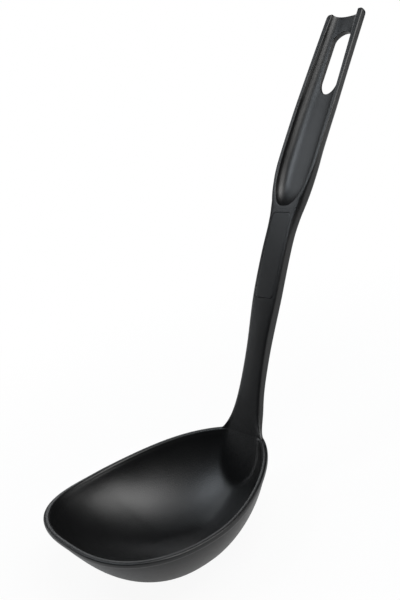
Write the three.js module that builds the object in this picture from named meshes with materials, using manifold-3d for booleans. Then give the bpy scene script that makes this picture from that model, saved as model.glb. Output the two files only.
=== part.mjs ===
// A kitchen ladle in dark nylon: an egg-shaped bowl that runs up through a flat-fronted neck into a
// leaning shaft, a scooped grip with a hanging slot, and a bare label plate let into the shaft.
// Millimetres. +Z is up, +Y runs from the bowl to the handle, +X is to the right seen from the front.
// The origin is the middle of the flat foot under the bowl.
import * as THREE from "three";
import { mergeVertices } from "three/addons/utils/BufferGeometryUtils.js";
import Module from "manifold-3d";

// Bowl.
const bowlWidth = 97.6;
const bowlLength = 111.4;
const bowlDepth = 37;
const widestAhead = 9.5; // the widest station lies this far ahead of the middle
const frontFullness = 2.68; // powers of the plan's two half ovals
const backFullness = 1.71;
const wallSteepness = 1.61; // powers of the wall's profile from rim to foot
const footRoundness = 1.74;
const footShare = 0.2; // the flat foot's size as a share of the plan
const bowlWall = 2.2;
const rimDip = 3.7; // the rim sinks this far at the sides

// Bead round the rim.
const beadOut = 0.9;
const beadHeight = 2.6;
const beadRound = 0.7;
const rimEdge = 0.4;

// Handle line: it leans back from the rim and bends into a steeper lean behind the shaft.
const neckInset = 5.2; // the neck's front face starts this far inside the bowl's back end
const facetLean = 0.59; // lean of the flat facet that carries the neck's front down inside the bowl
const lowerLean = 0.5; // millimetres back for each millimetre up
const upperLean = 0.91;
const bendHeight = 92; // heights along the handle are above the rim's ends
const bendSoftness = 45;
const handleTop = 187;

// Neck and shaft.
const waistHalf = 6.45;
const neckFlare = 7.6; // the neck widens by this much on each side where it meets the rim
const flareHeight = 9.5;
const filletReach = 5; // further widening of the fillets that run out along the rim
const filletHeight = 1.9;
const neckFlat = 8; // the neck's front is flat this far to each side, then follows the rim
const rimFollow = 0.03;
const shaftHalf = 8.2;
const neckDepth = 5.3;
const waistDepth = 6.6;
const shaftEdge = 4.7; // the side's height, front to back, where the back starts to round
const neckEdge = 0.8; // the same where the neck's fillets thin out on the rim
const edgeRound = 0.9;
const shoulderRound = 1.5; // further rounding of the front's edges at the joint

// Grip.
const gripStart = 100.2; // height of the joint between the shaft and the grip
const gripHalf = 14;
const gripTaper = 0.034;
const gripDepth = 7.7;
const gripEdge = 2.0;
const gripCorner = 1.5;
const shoulderBelow = 13; // the handle widens over these lengths below and above the joint
const shoulderAbove = 22;

// Scoop in the grip's front, open at the top end.
const scoopAbove = 1.3; // the scoop starts this far above the joint
const scoopDepth = 6.1;
const scoopLip = 2.4;
const scoopNose = 11; // length over which the scoop's lower end widens
const noseFullness = 2.4;
const scoopRamp = 17; // length over which its floor goes down
const scoopSquareness = 2.05;

// Hanging slot.
const slotBelowTop = 7;
const slotLength = 27.5;
const slotHalf = 6;
const slotUpperEnd = 4.3; // height of the flatter curve at the slot's upper end

// Tongue on the shaft, and the socket for it in the grip.
const tongueLength = 3.5;
const tongueHalf = 4.5;
const tongueFront = 4.3;
const tongueThickness = 1.4;

// Label plate and its pocket.
const labelBelow = 1.5; // the label's pocket ends this far below the joint
const labelLength = 37.7;
const labelHalf = 6.7;
const labelThickness = 1;
const labelCorner = 2.2;

const gap = 0.3; // clearance between two pieces
const bowlSides = 88;
const wallSteps = 13;

// Heights that follow from the sizes above.
const shoulderFrom = gripStart - shoulderBelow;
const shoulderTo = gripStart + shoulderAbove;
const scoopStart = gripStart + scoopAbove;
const slotTo = handleTop - slotBelowTop;
const slotFrom = slotTo - slotLength;
const labelTo = gripStart - labelBelow;
const labelFrom = labelTo - labelLength;

const wasm = await Module();
wasm.setup();

// A share of the way from one value to another, with a soft start and end.
function ease(value, from, to) {
  return THREE.MathUtils.smoothstep(value, from, to);
}

// A flat cap over a ring, as triples of its points in the ring's own direction.
function cap(ring) {
  const flat = ring.map((p) => new THREE.Vector2(p.x, p.y));
  const forward = THREE.ShapeUtils.area(flat) > 0;
  return THREE.ShapeUtils.triangulateShape(flat, []).map(([a, b, c]) => {
    const same = THREE.ShapeUtils.area([flat[a], flat[b], flat[c]]) > 0 === forward;
    return same ? [a, b, c] : [a, c, b];
  });
}

// A closed surface through rings of equally many points, capped at its two ends.
function loft(rings) {
  const count = rings[0].length;
  const top = (rings.length - 1) * count;
  const index = [];
  for (let start = 0; start < top; start += count) {
    for (let i = 0; i < count; i += 1) {
      const j = (i + 1) % count;
      const next = start + count;
      index.push(start + i, start + j, next + j, start + i, next + j, next + i);
    }
  }
  for (const [a, b, c] of cap(rings[0])) {
    index.push(a, c, b);
  }
  for (const [a, b, c] of cap(rings[rings.length - 1])) {
    index.push(top + a, top + b, top + c);
  }
  const geometry = new THREE.BufferGeometry().setFromPoints(rings.flat());
  geometry.setIndex(index);
  return geometry;
}

// A geometry as a solid with its faces outward.
function solid(geometry) {
  const plain = geometry.clone();
  plain.deleteAttribute("normal");
  plain.deleteAttribute("uv");
  const merged = mergeVertices(plain, 1e-4);
  const triVerts = new Uint32Array(merged.index.array);
  const vertProperties = new Float32Array(merged.attributes.position.array);
  const at = (i) => new THREE.Vector3().fromArray(vertProperties, 3 * i);
  let volume = 0;
  for (let i = 0; i < triVerts.length; i += 3) {
    const [a, b, c] = [at(triVerts[i]), at(triVerts[i + 1]), at(triVerts[i + 2])];
    volume += a.dot(b.cross(c));
  }
  if (volume < 0) {
    triVerts.reverse();
  }
  return new wasm.Manifold(new wasm.Mesh({ numProp: 3, vertProperties, triVerts }));
}

// A solid as a named mesh.
function piece(name, shape, colour) {
  const mesh = shape.getMesh();
  const geometry = new THREE.BufferGeometry();
  geometry.setAttribute("position", new THREE.BufferAttribute(mesh.vertProperties, 3));
  geometry.setIndex(new THREE.BufferAttribute(mesh.triVerts, 1));
  geometry.computeVertexNormals();
  const material = new THREE.MeshStandardMaterial({ color: colour, roughness: 0.5 });
  const made = new THREE.Mesh(geometry, material);
  made.name = name;
  return made;
}

// Plan of the bowl: two half ovals that meet at the widest station.
function planPoint(angle, grow) {
  const across = Math.cos(angle);
  const along = Math.sin(angle);
  const half = bowlWidth / 2 + grow;
  const reach = bowlLength / 2 + (along > 0 ? widestAhead : -widestAhead) + grow;
  const power = along > 0 ? backFullness : frontFullness;
  const sum = Math.abs(across / half) ** power + Math.abs(along / reach) ** power;
  const radius = sum ** (-1 / power);
  return [radius * across, radius * along - widestAhead];
}

// Height of the rim's top at a distance along the bowl.
function rimHeight(y) {
  const share = THREE.MathUtils.clamp((y + widestAhead / 2) / (0.52 * bowlLength), -1, 1);
  return bowlDepth - rimDip * (0.5 + 0.5 * Math.cos(Math.PI * share));
}

function angles() {
  return Array.from({ length: bowlSides }, (_, i) => (2 * Math.PI * (i + 0.5)) / bowlSides);
}

// A ring at the rim, offset from the outer wall and dropped from the rim's top.
function rimRing(grow, drop) {
  return angles().map((angle) => {
    const [x, y] = planPoint(angle, grow);
    return new THREE.Vector3(x, y, rimHeight(y) - drop);
  });
}

// Rings of one face of the bowl's wall, from just under the rim down to its flat floor.
function wallRings(grow, floor, drop) {
  const end = Math.acos(footShare ** (footRoundness / 2));
  const start = Math.asin((drop / bowlDepth) ** (wallSteepness / 2) * Math.sin(end));
  return Array.from({ length: wallSteps + 1 }, (_, i) => {
    const turn = start + ((end - start) * i) / wallSteps;
    const scale = Math.cos(turn) ** (2 / footRoundness);
    const down = (Math.sin(turn) / Math.sin(end)) ** (2 / wallSteepness);
    return angles().map((angle) => {
      const [x, y] = planPoint(angle, grow);
      const z = THREE.MathUtils.lerp(rimHeight(y), floor, down);
      return new THREE.Vector3(x * scale, y * scale, z);
    });
  });
}

// The bowl's shell: inner wall, flat rim, rounded bead with a step under it, outer wall and foot.
function bowlShell() {
  const inner = wallRings(-bowlWall, bowlWall, rimEdge).reverse();
  const slant = beadRound * 0.3;
  const rim = [
    rimRing(rimEdge - bowlWall, 0),
    rimRing(beadOut - beadRound, 0),
    rimRing(beadOut - slant, slant),
    rimRing(beadOut, beadRound),
    rimRing(beadOut, beadHeight - beadRound),
    rimRing(beadOut - slant, beadHeight - slant),
  ];
  return solid(loft([...inner, ...rim, ...wallRings(0, 0, beadHeight)]));
}

// Front face of the handle: distance back and slope at a height above the rim's ends.
const neckY = bowlLength / 2 - neckInset;
function frontY(s) {
  const turn = Math.hypot(s - bendHeight, bendSoftness) - Math.hypot(bendHeight, bendSoftness);
  return neckY + lowerLean * s + ((upperLean - lowerLean) / 2) * (s + turn);
}
function slope(s) {
  const share = (s - bendHeight) / Math.hypot(s - bendHeight, bendSoftness);
  return lowerLean + ((upperLean - lowerLean) / 2) * (1 + share);
}

// A point of the handle: x across, s up the front face, and d in behind that face.
function onHandle(x, s, d) {
  const lean = Math.atan(slope(s));
  const y = frontY(s) + d * Math.cos(lean);
  return new THREE.Vector3(x, y, bowlDepth + s - d * Math.sin(lean));
}

// Half width, depth and side height of the handle at each height.
function halfWidth(s) {
  const flare = neckFlare * Math.exp(-s / flareHeight);
  const fillet = filletReach * Math.exp(-s / filletHeight);
  const shaft = (shaftHalf - waistHalf) * ease(s, 0.35 * gripStart, 0.66 * gripStart);
  const grip = (gripHalf - shaftHalf) * ease(s, shoulderFrom, shoulderTo);
  const taper = gripTaper * Math.max(0, s - shoulderTo - shoulderAbove);
  return waistHalf + flare + fillet + shaft + grip - taper;
}
function depth(s) {
  const shaft = (waistDepth - neckDepth) * ease(s, 0.1 * gripStart, 0.45 * gripStart);
  const grip = (gripDepth - waistDepth) * ease(s, 0.9 * gripStart, 1.06 * gripStart);
  return neckDepth + shaft + grip;
}
function sideHeight(s) {
  const neck = neckEdge + (0.78 * shaftEdge - neckEdge) * (1 - Math.exp(-(s + 1) / filletHeight / 2));
  const shaft = 0.22 * shaftEdge * ease(s, 0.12 * gripStart, 0.45 * gripStart);
  const grip = (shaftEdge - gripEdge) * ease(s, 1.03 * gripStart, 1.27 * gripStart);
  return neck + shaft - grip;
}

// The same, with the neck's fillets drawn forward so that they run out along the curve of the rim.
function onNeck(x, s, d) {
  const over = Math.max(0, Math.abs(x) - neckFlat);
  const follow = rimFollow * over ** 2 * Math.exp(-Math.max(0, s) / (2 * filletHeight));
  return onHandle(x, s, d).sub(new THREE.Vector3(0, follow, 0));
}

// Section of the handle: flat front with rounded edges, short sides and a rounded back.
function handleRing(s, half) {
  const below = ease(s, 0.85 * gripStart, 0.98 * gripStart);
  const above = ease(s, 1.03 * gripStart, 1.16 * gripStart);
  const round = Math.min(edgeRound + shoulderRound * below * (1 - above), 0.6 * sideHeight(s));
  const ring = [];
  const corner = (side, turn) =>
    onNeck(side * (half - round + round * Math.cos(turn)), s, round - round * Math.sin(turn));
  for (let i = 0; i <= 3; i += 1) {
    ring.push(corner(1, (Math.PI / 6) * i));
  }
  for (const share of [0.9, 0.75, 0.6, 0.45, -0.45, -0.6, -0.75, -0.9]) {
    ring.push(onNeck(share * (half - round), s, 0));
  }
  for (let i = 0; i <= 3; i += 1) {
    ring.push(corner(-1, (Math.PI / 6) * (3 - i)));
  }
  for (let i = 0; i <= 12; i += 1) {
    const turn = Math.PI * (1 - i / 12);
    const d = sideHeight(s) + (depth(s) - sideHeight(s)) * Math.sin(turn);
    ring.push(onNeck(half * Math.cos(turn), s, d));
  }
  return ring;
}

// A bar that follows the handle's front face between two heights and two depths.
function bar(from, to, front, back, halfAt, steps) {
  const rings = Array.from({ length: steps + 1 }, (_, i) => {
    const s = from + ((to - from) * i) / steps;
    const half = halfAt(s);
    return [
      onHandle(half, s, front),
      onHandle(-half, s, front),
      onHandle(-half, s, back),
      onHandle(half, s, back),
    ];
  });
  return solid(loft(rings));
}

// Half width of a plate with rounded corners, between its two ends.
function plateHalf(from, to, half, corner) {
  return (s) => {
    const over = Math.max(0, from + corner - s, s - (to - corner));
    return half - corner + Math.sqrt(Math.max(0, corner ** 2 - over ** 2));
  };
}

// The filled outer shape of the bowl behind the neck's front face: it thickens the bowl's back wall
// and leaves a flat facet inside the bowl.
function neckRoot() {
  const wall = wallRings(0, 0, beadHeight);
  const filled = solid(loft([rimRing(-rimEdge, rimEdge), ...wall]));
  const reach = bowlLength / 2;
  const block = new THREE.BoxGeometry(bowlWidth, reach, 2 * bowlDepth);
  block.translate(0, reach / 2, 0);
  block.rotateX(-Math.atan(facetLean));
  block.translate(0, neckY, bowlDepth);
  return filled.intersect(solid(block));
}

// Tongue of the shaft that sits in the grip, or its socket when grown by the clearance.
function tongue(from, grow) {
  const to = gripStart + tongueLength + grow;
  const front = tongueFront - grow;
  const back = tongueFront + tongueThickness + grow;
  return bar(from, to, front, back, () => tongueHalf + grow, 4);
}

// Bowl, neck and shaft: one moulding, with the label's pocket cut in its front.
function bowlAndShaft() {
  const steps = 40;
  const rings = Array.from({ length: steps + 1 }, (_, i) => {
    const s = -1 + (gripStart + 1) * (i / steps) ** 1.6;
    return handleRing(s, halfWidth(s));
  });
  const shaft = solid(loft(rings));
  const half = plateHalf(labelFrom, labelTo, labelHalf, labelCorner);
  const pocket = bar(labelFrom, labelTo, -2, labelThickness + gap, half, 40);
  const whole = bowlShell().add(neckRoot()).add(shaft).add(tongue(gripStart - 3, 0));
  return piece("bowl_and_shaft", whole.subtract(pocket), 0x1b1c1f);
}

// Space scooped out of the grip's front.
function scoop() {
  const steps = 30;
  const end = handleTop + 4;
  const rings = Array.from({ length: steps + 1 }, (_, i) => {
    const s = scoopStart + (end - scoopStart) * (i / steps) ** 1.8;
    const nose = Math.min(1, (s - scoopStart) / scoopNose + 0.002);
    const half = (halfWidth(s) - scoopLip) * (1 - (1 - nose) ** noseFullness) ** (1 / noseFullness);
    const ramp = Math.min(1, (s - scoopStart) / scoopRamp);
    const deep = scoopDepth * Math.sqrt(1 - (1 - ramp) ** 2);
    const ring = [onHandle(half, s, -4), onHandle(-half, s, -4)];
    for (let j = 0; j <= 14; j += 1) {
      const turn = Math.PI * (1 - j / 14);
      const x = Math.sign(Math.cos(turn)) * Math.abs(Math.cos(turn)) ** (2 / scoopSquareness);
      const d = Math.sin(turn) ** (2 / scoopSquareness);
      ring.push(onHandle(half * x, s, deep * d));
    }
    return ring;
  });
  return solid(loft(rings));
}

// Rounded slot right through the grip's floor.
function hangingSlot() {
  const outline = Array.from({ length: 32 }, (_, i) => {
    const turn = (2 * Math.PI * (i + 0.5)) / 32;
    const upper = slotTo - slotUpperEnd + slotUpperEnd * Math.sin(turn);
    const lower = slotFrom + slotHalf + slotHalf * Math.sin(turn);
    return [slotHalf * Math.cos(turn), Math.sin(turn) > 0 ? upper : lower];
  });
  const level = (d) => outline.map(([x, s]) => onHandle(x, s, d));
  return solid(loft([level(-4), level(gripDepth + 4)]));
}

// Grip: scooped on its front, rounded behind, pushed over the shaft's tongue.
function handleGrip() {
  const steps = 40;
  const from = gripStart + gap;
  const rings = Array.from({ length: steps + 1 }, (_, i) => {
    const s = from + (handleTop - from) * (1 - (1 - i / steps) ** 1.5);
    const over = Math.max(0, s - (handleTop - gripCorner));
    const cut = gripCorner - Math.sqrt(Math.max(0, gripCorner ** 2 - over ** 2));
    return handleRing(s, halfWidth(s) - cut);
  });
  const body = solid(loft(rings)).subtract(scoop()).subtract(hangingSlot());
  return piece("handle_grip", body.subtract(tongue(gripStart - 2, gap)), 0x202124);
}

// Label plate: a bare plate in the shaft's pocket, flush with the shaft's front.
function labelPlate() {
  const from = labelFrom + gap;
  const to = labelTo - gap;
  const half = plateHalf(from, to, labelHalf - gap, labelCorner - gap);
  return piece("label_plate", bar(from, to, 0, labelThickness, half, 40), 0x26272a);
}

const group = new THREE.Group();
group.name = "ladle";
group.add(bowlAndShaft(), handleGrip(), labelPlate());

export default group;
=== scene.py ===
import math

import bmesh
import bpy
from mathutils import Matrix, Vector


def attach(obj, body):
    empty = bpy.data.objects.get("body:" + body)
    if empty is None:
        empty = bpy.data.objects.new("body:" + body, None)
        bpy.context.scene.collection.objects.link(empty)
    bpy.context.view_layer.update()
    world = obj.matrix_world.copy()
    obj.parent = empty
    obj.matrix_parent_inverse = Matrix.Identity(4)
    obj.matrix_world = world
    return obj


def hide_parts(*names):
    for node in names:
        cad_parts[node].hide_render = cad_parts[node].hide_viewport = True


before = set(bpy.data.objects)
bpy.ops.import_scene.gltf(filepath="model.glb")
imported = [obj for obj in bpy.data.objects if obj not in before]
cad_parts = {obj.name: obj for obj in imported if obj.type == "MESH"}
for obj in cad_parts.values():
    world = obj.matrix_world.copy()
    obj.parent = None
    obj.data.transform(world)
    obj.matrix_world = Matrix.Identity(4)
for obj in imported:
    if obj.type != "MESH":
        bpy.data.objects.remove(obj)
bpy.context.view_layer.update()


# Bowl, neck and shaft: one injection moulding in satin black nylon, with all sizes in millimetres.
# A sheet is pressed into the egg-shaped bowl, with a flat foot and a beaded rim that dips at mid length.
# The neck is drawn up out of the rim's back, and the grip is pushed over the shaft's upper end.
bowl_width = 97.6
bowl_length = 111.4
bowl_depth = 37.0
bowl_wall = 2.2
widest_ahead = 9.5
front_fullness = 2.68
back_fullness = 1.71
wall_steepness = 1.61
foot_roundness = 1.84
foot_share = 0.2
rim_dip = 3.7
rim_dip_reach = 0.52 * bowl_length
neck_y = bowl_length / 2 - 5.2
facet_lean = 0.59
lower_lean = 0.5
upper_lean = 0.91
bend_height = 92.0
bend_softness = 45.0
waist_half = 6.75
neck_flare = 7.6
flare_height = 9.5
fillet_height = 1.4
shaft_half = 8.6
shaft_edge = 4.4
neck_edge_share = 0.78
neck_depth = 5.3
waist_depth = 6.6
front_crown = 0.25
edge_round = 0.9
shoulder_round = 1.5
grip_start = 100.2
grip_half = 14.0
grip_depth = 7.7
grip_edge = 2.0
grip_taper = 0.034
shoulder_from = grip_start - 13.0
shoulder_to = grip_start + 22.0
taper_from = shoulder_to + 22.0
label_to = grip_start - 1.5
label_from = label_to - 37.7
label_half = 6.7
label_corner = 2.2
label_thickness = 1.0
pocket_depth = 1.3
pocket_above = 2.0
weld_distance = 0.002
metres_per_mm = 0.001

# Stretches of the handle, by height above the rim, over which one size eases into the next.
shaft_widens = (0.35 * grip_start, 0.66 * grip_start)
shaft_deepens = (0.1 * grip_start, 0.45 * grip_start)
grip_deepens = (0.9 * grip_start, 1.06 * grip_start)
shaft_edge_grows = (0.12 * grip_start, 0.45 * grip_start)
grip_edge_thins = (1.03 * grip_start, 1.27 * grip_start)
edge_softens = (0.85 * grip_start, 0.98 * grip_start)
edge_sharpens = (1.03 * grip_start, 1.16 * grip_start)
crown_begins = (6.0, 26.0)
crown_ends = (grip_start, grip_start + 14.0)


def ease(value, start, end):
    share = min(1.0, max(0.0, (value - start) / (end - start)))
    return share * share * (3.0 - 2.0 * share)


def soft_max(a, b, soft):
    share = min(1.0, max(0.0, 0.5 + 0.5 * (a - b) / soft))
    return b + (a - b) * share + soft * share * (1.0 - share)


def rim_plan(angle, grow):
    across, along = math.cos(angle), math.sin(angle)
    half = bowl_width / 2 + grow
    reach = bowl_length / 2 + math.copysign(widest_ahead, along) + grow
    power = back_fullness if along > 0 else front_fullness
    radius = (abs(across / half) ** power + abs(along / reach) ** power) ** (-1 / power)
    return radius * across, radius * along - widest_ahead


def rim_height(y):
    share = min(1.0, max(-1.0, (y + widest_ahead / 2) / rim_dip_reach))
    return bowl_depth - rim_dip * (0.5 + 0.5 * math.cos(math.pi * share))


def rim_point(angle, grow, drop):
    x, y = rim_plan(angle, grow)
    return Vector((x, y, rim_height(y) - drop))


def wall_point(angle, turn, grow, floor, soft):
    x, y = rim_plan(angle, grow)
    foot = math.sqrt(1 - foot_share ** foot_roundness)
    scale = math.cos(turn) ** (2 / foot_roundness)
    down = (math.sin(turn) / foot) ** (2 / wall_steepness)
    z = rim_height(y) + (floor - rim_height(y)) * down
    return Vector((x * scale, y * scale, soft_max(z, floor, soft)))


def front_y(s):
    turn = math.hypot(s - bend_height, bend_softness) - math.hypot(bend_height, bend_softness)
    return neck_y + lower_lean * s + (upper_lean - lower_lean) / 2 * (s + turn)


def lean_at(s):
    share = (s - bend_height) / math.hypot(s - bend_height, bend_softness)
    return math.atan(lower_lean + (upper_lean - lower_lean) / 2 * (1 + share))


def on_handle(x, s, d):
    lean = lean_at(s)
    return Vector((x, front_y(s) + d * math.cos(lean), bowl_depth + s - d * math.sin(lean)))


def half_width(s, fillet_reach):
    flare = neck_flare * math.exp(-s / flare_height) + fillet_reach * math.exp(-s / fillet_height)
    shaft = (shaft_half - waist_half) * ease(s, *shaft_widens)
    grip = (grip_half - shaft_half) * ease(s, shoulder_from, shoulder_to)
    return waist_half + flare + shaft + grip - grip_taper * max(0.0, s - taper_from)


def handle_depth(s):
    shaft = (waist_depth - neck_depth) * ease(s, *shaft_deepens)
    return neck_depth + shaft + (grip_depth - waist_depth) * ease(s, *grip_deepens)


def side_height(s):
    neck = shaft_edge * (neck_edge_share + (1 - neck_edge_share) * ease(s, *shaft_edge_grows))
    return neck - (shaft_edge - grip_edge) * ease(s, *grip_edge_thins)


def edge_round_at(s):
    return edge_round + shoulder_round * ease(s, *edge_softens) * (1 - ease(s, *edge_sharpens))


def front_drop(x, s):
    crown = front_crown * ease(s, *crown_begins) * (1 - ease(s, *crown_ends))
    return crown * (x / half_width(s, 0.0)) ** 2


def new_sheet(name, columns, rows):
    bpy.ops.object.select_all(action="DESELECT")
    bpy.ops.mesh.primitive_grid_add(x_subdivisions=columns, y_subdivisions=rows, size=2)
    piece = bpy.context.object
    piece.name = name
    piece.data.name = name
    return piece


def place_sheet(piece, columns, rows, place):
    for vert in piece.data.vertices:
        column = round((vert.co.x + 1) / 2 * columns)
        row = round((vert.co.y + 1) / 2 * rows)
        vert.co = place(column, row)


def weld_sheet(piece):
    bpy.context.view_layer.objects.active = piece
    bpy.ops.object.mode_set(mode="EDIT")
    bpy.ops.mesh.select_all(action="SELECT")
    bpy.ops.mesh.remove_doubles(threshold=weld_distance)
    bpy.ops.object.mode_set(mode="OBJECT")


def close_sheet(piece):
    weld_sheet(piece)
    bpy.ops.object.mode_set(mode="EDIT")
    bpy.ops.mesh.select_all(action="SELECT")
    bpy.ops.mesh.fill_holes(sides=0)
    bpy.ops.mesh.select_all(action="SELECT")
    bpy.ops.mesh.normals_make_consistent(inside=False)
    bpy.ops.object.mode_set(mode="OBJECT")


def cut_away(piece, cutter):
    bpy.context.view_layer.objects.active = piece
    cut = piece.modifiers.new("cut", "BOOLEAN")
    cut.operation = "DIFFERENCE"
    cut.solver = "MANIFOLD"
    cut.object = cutter
    bpy.ops.object.modifier_apply(modifier=cut.name)
    bpy.data.objects.remove(cutter)


def finish_piece(piece, angle):
    bpy.ops.object.select_all(action="DESELECT")
    piece.select_set(True)
    bpy.context.view_layer.objects.active = piece
    piece.scale = (metres_per_mm, metres_per_mm, metres_per_mm)
    bpy.ops.object.transform_apply(location=True, rotation=True, scale=True)
    bpy.ops.object.shade_smooth_by_angle(angle=math.radians(angle))


# Rows of the bowl's sheet, from the middle of its inside over the rim to the middle of its foot.
# Turns are in degrees down the wall. A rim step says how far out from the rim's line
# and how far down from its top a row runs.
inside_rows = 22
inside_turns = [86 - 80 * i / inside_rows for i in range(inside_rows + 1)]
rim_steps = [(-2.12, 1.5), (-1.98, 0.9), (-1.66, 0.4), (-1.22, 0.09), (-0.8, 0.0),
             (-0.35, 0.0), (0.1, 0.04), (0.52, 0.2), (0.8, 0.5), (0.9, 0.9),
             (0.9, 1.6), (0.84, 2.1), (0.62, 2.45), (0.2, 2.62)]
outside_turns = [7.2, 9.0, 12.0] + [16 + 5 * i for i in range(15)]
bowl_rows = len(inside_turns) + len(rim_steps) + len(outside_turns) - 1
bowl_columns = 224
neck_columns = 9
front_row = len(inside_turns) + 3
back_row = len(inside_turns) + 7
inside_soft = 1.2
foot_soft = 0.5
facet_soft = 0.8


def bowl_place(column, row):
    angle = math.radians(360 * column / bowl_columns - 90)
    if row < len(inside_turns):
        point = wall_point(angle, math.radians(inside_turns[row]), -bowl_wall, bowl_wall, inside_soft)
    elif row < len(inside_turns) + len(rim_steps):
        point = rim_point(angle, *rim_steps[row - len(inside_turns)])
    else:
        turn = outside_turns[row - len(inside_turns) - len(rim_steps)]
        point = wall_point(angle, math.radians(turn), 0.0, 0.0, foot_soft)
    if row <= front_row and point.y > 0:
        facet = neck_y + facet_lean * (point.z - bowl_depth)
        point.y = -soft_max(-point.y, -facet, facet_soft)
    return point


body = new_sheet("bowl_neck_and_shaft", bowl_columns, bowl_rows)
column_layer = body.data.attributes.new("column", "INT", "POINT")
row_layer = body.data.attributes.new("row", "INT", "POINT")
for vert in body.data.vertices:
    column_layer.data[vert.index].value = round((vert.co.x + 1) / 2 * bowl_columns)
    row_layer.data[vert.index].value = round((vert.co.y + 1) / 2 * bowl_rows)
place_sheet(body, bowl_columns, bowl_rows, bowl_place)
weld_sheet(body)

# The neck: the faces of the rim's top at its back are drawn up step by step along the leaning shaft.
neck_middle = bowl_columns // 2
edge_column = neck_middle + neck_columns
front_steps = [0.72 * i / 7 for i in range(8)]
side_steps = [0.0, 0.0, 0.4, 0.75, 1.0]
section_turns_flat = (0.5, 14.0)
corner_forms = (3.0, 14.0)
depth_forms = (0.0, 10.0)
cut_turns_square = (2.0, 30.0)
base_fade = 1.5
rim_fade = 3.0
corner_pull = 0.224


def neck_place(column, row, s):
    start = bowl_place(column, row)
    front = bowl_place(column, front_row)
    edge = abs(bowl_place(edge_column, row).x)
    fillet = abs(bowl_place(edge_column, front_row).x) - waist_half - neck_flare
    half = half_width(s, fillet)
    count = abs(column - neck_middle)
    across = math.copysign(1.0, neck_middle - column)
    inner = front_steps + [1.0 - edge_round_at(s) / half, 1.0]
    back = math.sin(math.pi / 2 * count / neck_columns)
    level = (row - front_row) / (back_row - front_row)
    flat = inner[count] + (back - inner[count]) * level
    share = abs(start.x) / edge + (flat - abs(start.x) / edge) * ease(s, *section_turns_flat)
    x = across * share * (half + (edge - waist_half - neck_flare - fillet) * math.exp(-s / base_fade))
    side = side_height(s)
    full = side + (handle_depth(s) - side) * math.cos(math.pi / 2 * count / neck_columns)
    lean = lean_at(s)
    first = (start.y - front.y) * math.cos(lean_at(0.0))
    turned = min(0.5, edge_round_at(s) / full)
    down = turned + (1 - turned) * side_steps[row - front_row] if row > front_row else 0.0
    if row == front_row and count == neck_columns:
        x -= across * corner_pull * edge_round_at(s) * ease(s, *corner_forms)
        down = corner_pull * turned
    d = first + (down * full - first) * ease(s, *depth_forms) + front_drop(x, s) * (1 - down)
    point = on_handle(x, s, d)
    level_cut = (1.0 - ease(s, *cut_turns_square)) * d * math.tan(lean)
    point += level_cut * Vector((0.0, math.sin(lean), math.cos(lean)))
    point.y -= (neck_y - front.y) * math.exp(-s / rim_fade)
    point.z += (start.z - bowl_depth) * math.exp(-s / rim_fade)
    return point


bpy.ops.object.mode_set(mode="EDIT")
bpy.ops.mesh.select_mode(type="FACE")
bpy.ops.mesh.select_all(action="DESELECT")
mesh = bmesh.from_edit_mesh(body.data)
columns = mesh.verts.layers.int["column"]
rows = mesh.verts.layers.int["row"]
for face in mesh.faces:
    inside = all(abs(v[columns] - neck_middle) <= neck_columns for v in face.verts)
    face.select = inside and all(front_row <= v[rows] <= back_row for v in face.verts)
bmesh.update_edit_mesh(body.data)
neck_steps = [0.25, 0.55, 0.95, 1.45, 2.1, 3.0, 4.2, 5.8, 7.8, 10.2, 13.2, 17.0]
shaft_steps = [neck_steps[-1] + 4.2 * (i + 1) for i in range(19)]
end_steps = [grip_start - below for below in (1.6, 0.3, 0.0)]
for s in neck_steps + shaft_steps + end_steps:
    bpy.ops.mesh.extrude_region()
    mesh = bmesh.from_edit_mesh(body.data)
    columns = mesh.verts.layers.int["column"]
    rows = mesh.verts.layers.int["row"]
    for vert in mesh.verts:
        if vert.select:
            vert.co = neck_place(vert[columns], vert[rows], s)
    bmesh.update_edit_mesh(body.data)
bpy.ops.mesh.region_to_loop()
bpy.ops.transform.edge_crease(value=1.0)
bpy.ops.mesh.select_all(action="SELECT")
bpy.ops.mesh.normals_make_consistent(inside=False)
bpy.ops.object.mode_set(mode="OBJECT")
smooth = body.modifiers.new("smooth", "SUBSURF")
smooth.levels = 1
smooth.render_levels = 1
bpy.ops.object.modifier_apply(modifier=smooth.name)
close_sheet(body)

# The label's pocket in the shaft's front, a plate's space with rounded corners.
plate_columns = 10
plate_steps = 12
plate_turns = [15 * i for i in range(7)]


def plate_place(column, row, start, end, half, corner, d):
    steps = [start + corner * (1 - math.cos(math.radians(t))) for t in plate_turns]
    straight = end - start - 2 * corner
    steps += [start + corner + straight * (i + 1) / (plate_steps + 1) for i in range(plate_steps)]
    steps += [end - corner * (1 - math.cos(math.radians(t))) for t in reversed(plate_turns)]
    s = steps[row]
    over = max(0.0, start + corner - s, s - end + corner)
    width = half - corner + math.sqrt(max(0.0, corner * corner - over * over))
    x = width * (2 * column / plate_columns - 1)
    return on_handle(x, s, d + front_drop(x, s))


def new_plate(name, start, end, half, corner, front, back):
    plate_rows = 2 * len(plate_turns) + plate_steps - 1
    plate = new_sheet(name, plate_columns, plate_rows)
    place_sheet(plate, plate_columns, plate_rows,
                lambda column, row: plate_place(column, row, start, end, half, corner, front))
    bpy.ops.object.mode_set(mode="EDIT")
    bpy.ops.mesh.select_all(action="SELECT")
    lean = lean_at((start + end) / 2)
    deep = back - front
    bpy.ops.mesh.extrude_region_move(
        TRANSFORM_OT_translate={"value": (0.0, deep * math.cos(lean), -deep * math.sin(lean))})
    bpy.ops.mesh.select_all(action="SELECT")
    bpy.ops.mesh.normals_make_consistent(inside=False)
    bpy.ops.object.mode_set(mode="OBJECT")
    return plate


pocket = new_plate("pocket", label_from, label_to, label_half, label_corner, -pocket_above, pocket_depth)
cut_away(body, pocket)
finish_piece(body, 35)


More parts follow.
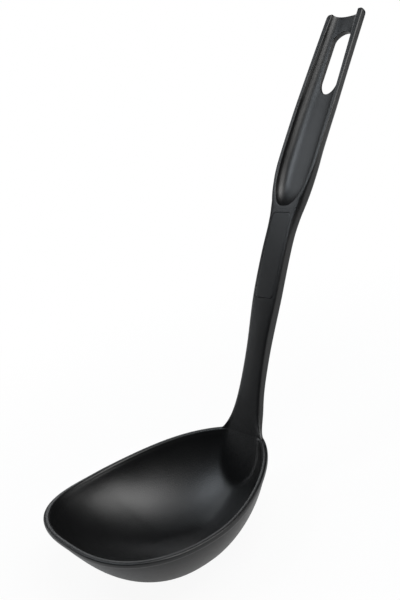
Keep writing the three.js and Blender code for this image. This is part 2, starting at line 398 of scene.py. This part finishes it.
# Nylon's finish: a near-black base with slight clouding, and the fine grain of the mould's surface.
class Wire:
    """A socket of a material. Sums on it add Math nodes, and node() adds any other node."""

    def __init__(self, tree, socket=None):
        self.tree = tree
        self.socket = socket

    def node(self, kind, settings, inputs, output=0):
        made = self.tree.nodes.new(kind)
        for name, value in settings.items():
            setattr(made, name, value)
        for name, value in inputs.items():
            if isinstance(value, Wire):
                self.tree.links.new(value.socket, made.inputs[name])
            else:
                made.inputs[name].default_value = value
        return Wire(self.tree, made.outputs[output] if made.outputs else None)

    def sum(self, operation, first, second):
        return self.node("ShaderNodeMath", {"operation": operation}, {0: first, 1: second})

    def __add__(self, other):
        return self.sum("ADD", self, other)

    def __mul__(self, other):
        return self.sum("MULTIPLY", self, other)

    def __sub__(self, other):
        return self.sum("SUBTRACT", self, other)

    __radd__ = __add__
    __rmul__ = __mul__


def nylon(name, dark, light, roughness, grain):
    material = bpy.data.materials.new(name)
    material.use_nodes = True
    tree = material.node_tree
    shader = tree.nodes["Principled BSDF"]
    wire = Wire(tree)
    place = wire.node("ShaderNodeTexCoord", {}, {}, "Object")
    cloud = wire.node("ShaderNodeTexNoise", {}, {"Vector": place, "Scale": 70.0, "Detail": 4.0})
    fine = wire.node("ShaderNodeTexNoise", {}, {"Vector": place, "Scale": 1700.0, "Detail": 2.0})
    colour = wire.node("ShaderNodeMix", {"data_type": "RGBA"}, {"Factor": cloud, 6: dark, 7: light}, 2)
    rough = roughness + 0.1 * (cloud - 0.5) + 0.12 * (fine - 0.5)
    bump = wire.node("ShaderNodeBump", {}, {"Strength": grain, "Distance": 0.0001, "Height": fine})
    tree.links.new(colour.socket, shader.inputs["Base Color"])
    tree.links.new(rough.socket, shader.inputs["Roughness"])
    tree.links.new(bump.socket, shader.inputs["Normal"])
    shader.inputs["IOR"].default_value = 1.5
    return material


body.data.materials.clear()
body_dark = (0.0017, 0.0018, 0.002, 1.0)
body_light = (0.003, 0.0031, 0.0034, 1.0)
body_roughness = 0.37
body_grain = 0.55
body.data.materials.append(nylon("satin_black_nylon", body_dark, body_light, body_roughness, body_grain))
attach(body, "root")
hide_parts("bowl_and_shaft")


# Label plate: a thin bare plate of the same nylon, with a finer and duller grain.
# It is pressed into the shaft's pocket, flush with the front, and a hairline gap runs round it.
label_gap = 0.12
label_bevel = 0.12
label_dark = (0.002, 0.0021, 0.0023, 1.0)
label_light = (0.0034, 0.0035, 0.0038, 1.0)
label_roughness = 0.42
label_grain = 0.2
label = new_plate("label_plate_face", label_from + label_gap, label_to - label_gap,
                  label_half - label_gap, label_corner - label_gap, 0.0, label_thickness)
bpy.ops.object.mode_set(mode="EDIT")
bpy.ops.mesh.select_mode(type="EDGE")
bpy.ops.mesh.select_all(action="DESELECT")
bpy.ops.mesh.edges_select_sharp(sharpness=math.radians(60))
bpy.ops.mesh.bevel(offset=label_bevel, segments=2, affect="EDGES")
bpy.ops.object.mode_set(mode="OBJECT")
finish_piece(label, 40)
label.data.materials.append(nylon("matt_black_nylon", label_dark, label_light, label_roughness, label_grain))
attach(label, "root")
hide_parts("label_plate")


# Grip: a moulding of the same nylon, pushed over the shaft's end. Its front is scooped out between
# two narrow lips, the scoop runs out at the top, and a slot for a rail hook goes through its floor.
handle_top = 187.0
corner_round = 1.5
end_round = 0.5
scoop_start = grip_start + 1.3
scoop_depth = 6.1
scoop_lip = 2.4
upper_rise = 1.7
upper_lip = 1.3
scoop_nose = 11.0
nose_fullness = 2.4
scoop_ramp = 12.5
scoop_squareness = 2.5
lip_round = 0.55
rise_from = 0.79 * handle_top
rise_to = 1.03 * handle_top
joint_gap = 0.04
grip_dark = (0.002, 0.0021, 0.0023, 1.0)
grip_light = (0.0034, 0.0035, 0.0038, 1.0)
grip_roughness = 0.36
grip_grain = 0.05

# Counts of points across a half section and of rows along the grip.
back_points = 13
round_steps = 4
floor_points = 14
floor_crowding = 1.3
flat_shares = (0.33, 0.66)
nose_rows = 20
row_height = 2.6


def near_top(s):
    return ease(s, rise_from, rise_to)


def scoop_half(s):
    nose = min(1.0, max(0.0, (s - scoop_start) / scoop_nose))
    full = half_width(s, 0.0) - scoop_lip - upper_lip * near_top(s)
    return full * (1 - (1 - nose) ** nose_fullness) ** (1 / nose_fullness)


def scoop_deep(s):
    ramp = min(1.0, max(0.0, (s - scoop_start) / scoop_ramp))
    return (scoop_depth - upper_rise * near_top(s)) * math.sqrt(1 - (1 - ramp) ** 2)


def floor_depth(x, s):
    lip = min(lip_round, 0.5 * scoop_deep(s))
    turn = min(1.0, abs(x) / scoop_half(s)) ** (scoop_squareness / 2)
    return lip + (scoop_deep(s) - lip) * (1 - turn * turn) ** (1 / scoop_squareness)


def back_depth(x, s):
    side = side_height(s)
    return side + (handle_depth(s) - side) * math.sqrt(1 - (x / half_width(s, 0.0)) ** 2)


def grip_section(s, inset):
    over = max(0.0, s - handle_top + corner_round)
    half = half_width(s, 0.0) - corner_round + math.sqrt(corner_round ** 2 - over ** 2) - inset
    side = side_height(s)
    deep = scoop_deep(s) + inset
    inner = scoop_half(s)
    edge = min(edge_round_at(s), 0.5 * (half - inner))
    lip = min(lip_round, 0.5 * scoop_deep(s), 0.3 * (half - inner))
    points = []
    for i in range(back_points):
        turn = math.pi / 2 * i / (back_points - 1)
        d = side + (handle_depth(s) - inset - side) * math.cos(turn)
        points.append((half * math.sin(turn), d))
    points += [(half, side - (side - edge - inset) * share) for share in flat_shares]
    for i in range(round_steps + 1):
        turn = math.pi / 2 * i / round_steps
        points.append((half - edge + edge * math.cos(turn), inset + edge * (1 - math.sin(turn))))
    first, last = half - edge, inner + lip
    points += [(first + (last - first) * share, inset) for share in flat_shares]
    for i in range(round_steps + 1):
        turn = math.pi / 2 * i / round_steps
        points.append((inner + lip - lip * math.sin(turn), inset + lip * (1 - math.cos(turn))))
    for i in range(1, floor_points + 1):
        turn = math.pi / 2 * (i / floor_points) ** floor_crowding
        x = inner * max(0.0, math.cos(turn)) ** (2 / scoop_squareness)
        points.append((x, lip + (deep - lip) * math.sin(turn) ** (2 / scoop_squareness)))
    front = points[back_points:]
    points[back_points:] = [(x, d + front_drop(x, s) * max(0.0, 1 - d / side)) for x, d in front]
    return points + [(-x, d) for x, d in reversed(points[:-1])]


# The grip's rows, each with its height and how far its section is drawn in to round the end.
nose_turns = [math.pi / 2 * i / nose_rows for i in range(nose_rows + 1)]
grip_heights = [grip_start + joint_gap + above for above in (0.0, 0.25, 0.6, 1.0)]
grip_heights += [scoop_start + scoop_nose * (1 - math.cos(turn)) for turn in nose_turns]
grip_heights += [scoop_start + scoop_nose + row_height * (i + 1) for i in range(27)]
grip_heights += [handle_top - below for below in (2.8, 2.0, 1.4, 0.9)]
grip_steps = [(height, 0.0) for height in grip_heights]
for i in range(round_steps + 1):
    turn = math.pi / 2 * i / round_steps
    grip_steps.append((handle_top - end_round * (1 - math.sin(turn)), end_round * (1 - math.cos(turn))))
sections = [grip_section(s, inset) for s, inset in grip_steps]
grip_columns = len(sections[0]) - 1
grip_rows = len(grip_steps) - 1


def grip_place(column, row):
    x, d = sections[row][column]
    return on_handle(x, grip_steps[row][0], d)


grip = new_sheet("scooped_grip", grip_columns, grip_rows)
place_sheet(grip, grip_columns, grip_rows, grip_place)
close_sheet(grip)

# The hanging slot's space, flared at both faces so that the slot's edges come out rounded.
slot_to = handle_top - 7.0
slot_from = slot_to - 27.5
slot_half = 6.0
slot_upper_end = 4.3
slot_round = 0.35
slot_turns = [math.radians(15 * i) for i in range(1, 7)]
slot_flare = [(1.6, -1.6), (1.0, 0.0)]
slot_flare += [(1 - math.sin(turn), 1 - math.cos(turn)) for turn in slot_turns]
slot_sides = 72
slot_rows = 2 * len(slot_flare) - 1


def slot_place(column, row):
    turn = 2 * math.pi * column / slot_sides
    grow, into = slot_flare[min(row, slot_rows - row)]
    x = (slot_half + slot_round * grow) * math.cos(turn)
    end, middle = slot_half, slot_from + slot_half
    if math.sin(turn) > 0:
        end, middle = slot_upper_end, slot_to - slot_upper_end
    s = middle + (end + slot_round * grow) * math.sin(turn)
    if row < len(slot_flare):
        return on_handle(x, s, floor_depth(x, s) + slot_round * into)
    return on_handle(x, s, back_depth(x, s) - slot_round * into)


slot = new_sheet("slot", slot_sides, slot_rows)
place_sheet(slot, slot_sides, slot_rows, slot_place)
close_sheet(slot)
cut_away(grip, slot)
finish_piece(grip, 35)
grip.data.materials.clear()
grip.data.materials.append(nylon("satin_grip_nylon", grip_dark, grip_light, grip_roughness, grip_grain))
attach(grip, "root")
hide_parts("handle_grip")


# Studio: a pale floor that runs out to white, and soft lamps.
bpy.ops.mesh.primitive_circle_add(vertices=96, radius=1.6, fill_type="NGON", location=(0.0, 0.05, 0.0))
floor = bpy.context.object
floor.name = "studio_floor"
paper = bpy.data.materials.new("studio_paper")
paper.use_nodes = True
tree = paper.node_tree
tree.nodes.clear()
wire = Wire(tree)
seen = wire.node("ShaderNodeLightPath", {}, {}, "Is Camera Ray")
mirrored = wire.node("ShaderNodeLightPath", {}, {}, "Is Glossy Ray")
rays = seen + 0.38 * mirrored
place = wire.node("ShaderNodeTexCoord", {}, {}, "Object")
far = wire.node("ShaderNodeVectorMath", {"operation": "LENGTH"}, {0: place}, "Value")
reach = wire.node("ShaderNodeMapRange", {"interpolation_type": "SMOOTHSTEP"},
                  {"Value": far, "From Min": 0.08, "From Max": 0.4, "To Min": 0.93, "To Max": 1.0})
plain = wire.node("ShaderNodeBsdfDiffuse", {}, {"Color": (0.8, 0.8, 0.8, 1.0)})
white = wire.node("ShaderNodeEmission", {}, {"Color": (1.0, 1.0, 1.0, 1.0), "Strength": 1.0})
mixed = wire.node("ShaderNodeMixShader", {}, {0: rays * reach, 1: plain, 2: white})
wire.node("ShaderNodeOutputMaterial", {}, {"Surface": mixed})
floor.data.materials.append(paper)

world = bpy.data.worlds.new("studio")
bpy.context.scene.world = world
world.use_nodes = True
tree = world.node_tree
tree.nodes.clear()
wire = Wire(tree)
rays = wire.node("ShaderNodeLightPath", {}, {}, "Is Camera Ray")
dim = wire.node("ShaderNodeBackground", {}, {"Color": (0.9, 0.95, 1.0, 1.0), "Strength": 0.03})
bright = wire.node("ShaderNodeBackground", {}, {"Color": (1.0, 1.0, 1.0, 1.0), "Strength": 1.0})
mixed = wire.node("ShaderNodeMixShader", {}, {0: rays, 1: dim, 2: bright})
wire.node("ShaderNodeOutputWorld", {}, {"Surface": mixed})


def soft_lamp(name, place, aim, size, power, colour):
    data = bpy.data.lights.new(name, "AREA")
    data.shape = "RECTANGLE"
    data.size, data.size_y = size
    data.energy = power
    data.color = colour
    lamp = bpy.data.objects.new(name, data)
    bpy.context.scene.collection.objects.link(lamp)
    lamp.location = place
    lamp.rotation_euler = (Vector(aim) - Vector(place)).to_track_quat("-Z", "Y").to_euler()


soft_lamp("key high", (0.543, 0.072, 1.066), (-0.036, 0.0, 0.017), (0.6, 0.5), 5.2, (1.0, 1.0, 0.995))
soft_lamp("key low", (0.783, 0.397, 0.8), (-0.036, 0.0, 0.017), (0.6, 0.6), 5.2, (1.0, 1.0, 0.99))
soft_lamp("top", (0.204, 0.0, 1.193), (-0.036, 0.0, 0.017), (0.5, 0.5), 1.4, (0.97, 0.98, 1.0))
soft_lamp("overhead", (-0.17, -0.4, 0.97), (0.0, 0.06, 0.08), (0.34, 0.28), 2.5, (0.86, 0.93, 1.0))
soft_lamp("left", (-0.746, -0.277, 0.958), (0.0, 0.06, 0.08), (0.6, 0.5), 1.9, (0.9, 0.95, 1.0))
soft_lamp("left low", (-1.105, -0.348, 0.308), (0.0, 0.06, 0.08), (0.45, 0.3), 1.1, (0.96, 0.98, 1.0))
soft_lamp("back", (-0.9, 0.624, 0.644), (0.0, 0.06, 0.08), (0.7, 0.5), 2.2, (0.96, 0.98, 1.0))
soft_lamp("right", (0.826, 0.922, 0.2), (0.0, 0.06, 0.08), (0.8, 0.4), 1.3, (1.0, 1.0, 1.0))


# Camera at the photograph's place, with a 48 mm lens on a 36 mm frame's long side.
camera_data = bpy.data.cameras.new("camera")
camera_data.lens = 48.0
camera_data.sensor_width = 36.0
camera_data.clip_start = 0.01
camera = bpy.data.objects.new("camera", camera_data)
bpy.context.scene.collection.objects.link(camera)
camera_place = (0.29479, -0.16956, 0.22434)
right = Vector((0.62804, 0.74349, -0.22976)).normalized()
forward = Vector((-0.77297, 0.56193, -0.29452)).normalized()
up = right.cross(forward).normalized()
turned = Matrix((right, up, -forward)).transposed().to_4x4()
camera.matrix_world = Matrix.Translation(camera_place) @ turned
bpy.context.scene.camera = camera
bpy.context.scene.view_settings.view_transform = "Standard"
